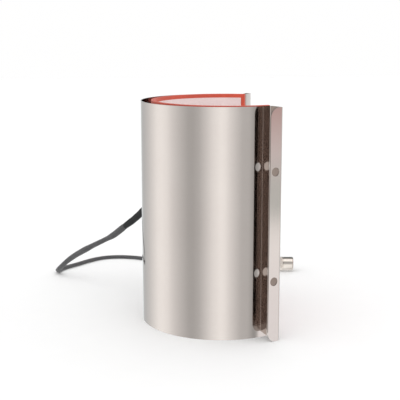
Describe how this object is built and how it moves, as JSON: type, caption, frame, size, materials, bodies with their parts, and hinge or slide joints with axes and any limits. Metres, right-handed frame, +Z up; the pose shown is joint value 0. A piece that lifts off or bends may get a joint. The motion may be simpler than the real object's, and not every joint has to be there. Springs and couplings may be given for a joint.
{
  "type": "mug press heating wrap",
  "caption": "Springy C-shaped steel shell lined with a silicone heater mat, with drilled clamp lips and a sleeved lead to a round metal connector.",
  "frame": {"origin": "on the standing surface, under the middle of the wrap's box without its lead", "axes": "+Z up along the mug's axis, +X out of the gap for the mug's handle, so +Y is the side that the lead leaves from"},
  "size_m": [0.2078, 0.2437, 0.1604],
  "materials": {
    "stainless_sheet": "polished",
    "silicone_mat": "satin",
    "heater_foil": "satin",
    "facing_sheet": "satin",
    "bond_adhesive": "gloss",
    "sensor_epoxy": "gloss",
    "wire_insulation": "satin",
    "black_rubber": "matt",
    "shrink_tube": "satin",
    "woven_sleeve": "woven",
    "nickel_plate": "plated",
    "screw_steel": "plated",
    "insert_plastic": "moulded",
    "contact_brass": "gold plated"
  },
  "bodies": {
    "wrap_back": {"shell_back": "stainless_sheet", "mat_outer_back": "silicone_mat", "mat_inner_back": "silicone_mat", "heater_back": "heater_foil", "facing_back": "facing_sheet", "terminal_patch": "silicone_mat", "sensor": "sensor_epoxy", "lead_wires": "wire_insulation", "grommet": "black_rubber", "strain_relief": "black_rubber", "shrink_sleeve": "shrink_tube", "lead": "woven_sleeve", "plug_barrel": "nickel_plate", "plug_insert": "insert_plastic", "plug_pins": "contact_brass", "plug_bush": "black_rubber", "plug_saddle": "nickel_plate", "saddle_screws": "screw_steel"},
    "near_wing": {"shell_near_wing": "stainless_sheet", "mat_outer_near": "silicone_mat", "mat_inner_near": "silicone_mat", "heater_near": "heater_foil", "facing_near": "facing_sheet", "bond_strip_near": "bond_adhesive"},
    "far_wing": {"shell_far_wing": "stainless_sheet", "mat_outer_far": "silicone_mat", "mat_inner_far": "silicone_mat", "heater_far": "heater_foil", "facing_far": "facing_sheet", "bond_strip_far": "bond_adhesive"},
    "coupling_ring": {"plug_ring": "nickel_plate"}
  },
  "joints": [
    {"name": "near_wing_flex", "type": "hinge", "parent": "wrap_back", "child": "near_wing", "pos_m": [-0.0088, -0.04417, 0], "axis": [0, 0, 1], "range_deg": [0, 17], "stiffness_Nm_per_rad": 11},
    {"name": "far_wing_flex", "type": "hinge", "parent": "wrap_back", "child": "far_wing", "pos_m": [-0.0088, 0.04417, 0], "axis": [0, 0, -1], "range_deg": [0, 17], "stiffness_Nm_per_rad": 11},
    {"name": "coupling_ring_spin", "type": "hinge", "parent": "wrap_back", "child": "coupling_ring", "pos_m": [0.0938, 0.1156, 0.006], "axis": [0.99, -0.1409, 0], "continuous": true}
  ],
  "couplings": [
    {"joint": "far_wing_flex", "follows": "near_wing_flex", "ratio": 1}
  ]
}
